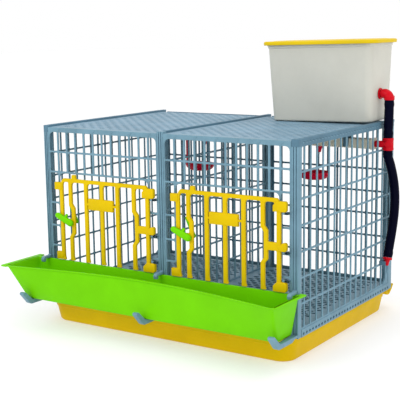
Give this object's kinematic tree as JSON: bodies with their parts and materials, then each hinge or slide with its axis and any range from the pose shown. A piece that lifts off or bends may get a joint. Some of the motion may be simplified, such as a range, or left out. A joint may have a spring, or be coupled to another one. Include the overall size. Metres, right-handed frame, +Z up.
{
  "type": "two-bay small livestock cage with trough and drinkers",
  "caption": "Two-bay plastic cage for small poultry or rabbits with front feed trough, hinged doors, slide-out tray, header tank and nipple drinkers.",
  "frame": {"origin": "centre of the dropping tray's flat underside", "axes": "+Z up, the doors and the feed trough face -Y, +X to the right seen from the front"},
  "size_m": [0.7045, 0.599, 0.6195],
  "materials": {
    "cage_grey": "satin blue-grey moulded plastic",
    "cage_grey_dark": "satin blue-grey moulded plastic, slightly darker",
    "lime": "semi-gloss lime green plastic",
    "door_yellow": "semi-gloss yellow plastic",
    "tray_amber": "semi-gloss amber yellow plastic",
    "lid_yellow": "semi-gloss warm yellow plastic",
    "tank_natural": "translucent off-white plastic",
    "fitting_red": "glossy red plastic",
    "cup_red": "glossy dark red plastic",
    "hose_black": "smooth black hose",
    "pipe_cream": "cream square pipe",
    "pin_steel": "stainless pin"
  },
  "bodies": {
    "cage": {"side_panel_left": "cage_grey", "side_panel_right": "cage_grey", "divider_panel": "cage_grey", "front_panel_left": "cage_grey", "front_panel_right": "cage_grey", "roof_panel_left": "cage_grey", "roof_panel_right": "cage_grey", "trough_arm_left": "cage_grey", "trough_arm_middle": "cage_grey", "trough_arm_right": "cage_grey", "trough_hook_left": "cage_grey", "trough_hook_middle": "cage_grey", "trough_hook_right": "cage_grey", "back_panel_left": "cage_grey_dark", "back_panel_right": "cage_grey_dark", "floor_grid_left": "cage_grey_dark", "floor_grid_right": "cage_grey_dark", "plug_clip": "cage_grey_dark", "pipe_clip_1": "cage_grey_dark", "pipe_clip_2": "cage_grey_dark", "pipe_clip_3": "cage_grey_dark", "pipe_clip_4": "cage_grey_dark", "feed_trough": "lime", "water_tank": "tank_natural", "tank_outlet_elbow": "fitting_red", "tank_outlet_nut": "fitting_red", "pipe_tee": "fitting_red", "pipe_end_cap": "fitting_red", "hose_end_plug": "fitting_red", "nipple_body_left": "cup_red", "nipple_body_right": "cup_red", "drip_cup_left": "cup_red", "drip_cup_right": "cup_red", "upper_hose": "hose_black", "lower_hose": "hose_black", "nipple_pipe": "pipe_cream", "pipe_socket": "pipe_cream"},
    "door_left": {"door_left": "door_yellow"},
    "door_right": {"door_right": "door_yellow"},
    "latch_left": {"door_latch_left": "lime"},
    "latch_right": {"door_latch_right": "lime"},
    "tray": {"dropping_tray": "tray_amber"},
    "lid": {"tank_lid": "lid_yellow"},
    "pin_left": {"nipple_pin_left": "pin_steel"},
    "pin_right": {"nipple_pin_right": "pin_steel"}
  },
  "joints": [
    {"name": "door_hinge_left", "type": "hinge", "parent": "cage", "child": "door_left", "pos_m": [-0.02, -0.2215, 0.232], "axis": [0, 0, 1], "range_deg": [0, 105]},
    {"name": "door_hinge_right", "type": "hinge", "parent": "cage", "child": "door_right", "pos_m": [0.292, -0.2215, 0.232], "axis": [0, 0, 1], "range_deg": [0, 105]},
    {"name": "latch_turn_left", "type": "hinge", "parent": "door_left", "child": "latch_left", "pos_m": [-0.239, -0.2245, 0.229], "axis": [0, 1, 0], "range_deg": [-65, 0]},
    {"name": "latch_turn_right", "type": "hinge", "parent": "door_right", "child": "latch_right", "pos_m": [0.073, -0.2245, 0.229], "axis": [0, 1, 0], "range_deg": [-65, 0]},
    {"name": "tray_slide", "type": "slide", "parent": "cage", "child": "tray", "axis": [0, 1, 0], "range_m": [0, 0.4]},
    {"name": "lid_lift", "type": "slide", "parent": "cage", "child": "lid", "axis": [-0.0262, -0.0009, 0.9997], "range_m": [0, 0.12]},
    {"name": "nipple_push_left", "type": "slide", "parent": "cage", "child": "pin_left", "axis": [0, 0, 1], "range_m": [0, 0.0015], "stiffness_N_per_m": 60},
    {"name": "nipple_push_right", "type": "slide", "parent": "cage", "child": "pin_right", "axis": [0, 0, 1], "range_m": [0, 0.0015], "stiffness_N_per_m": 60}
  ]
}
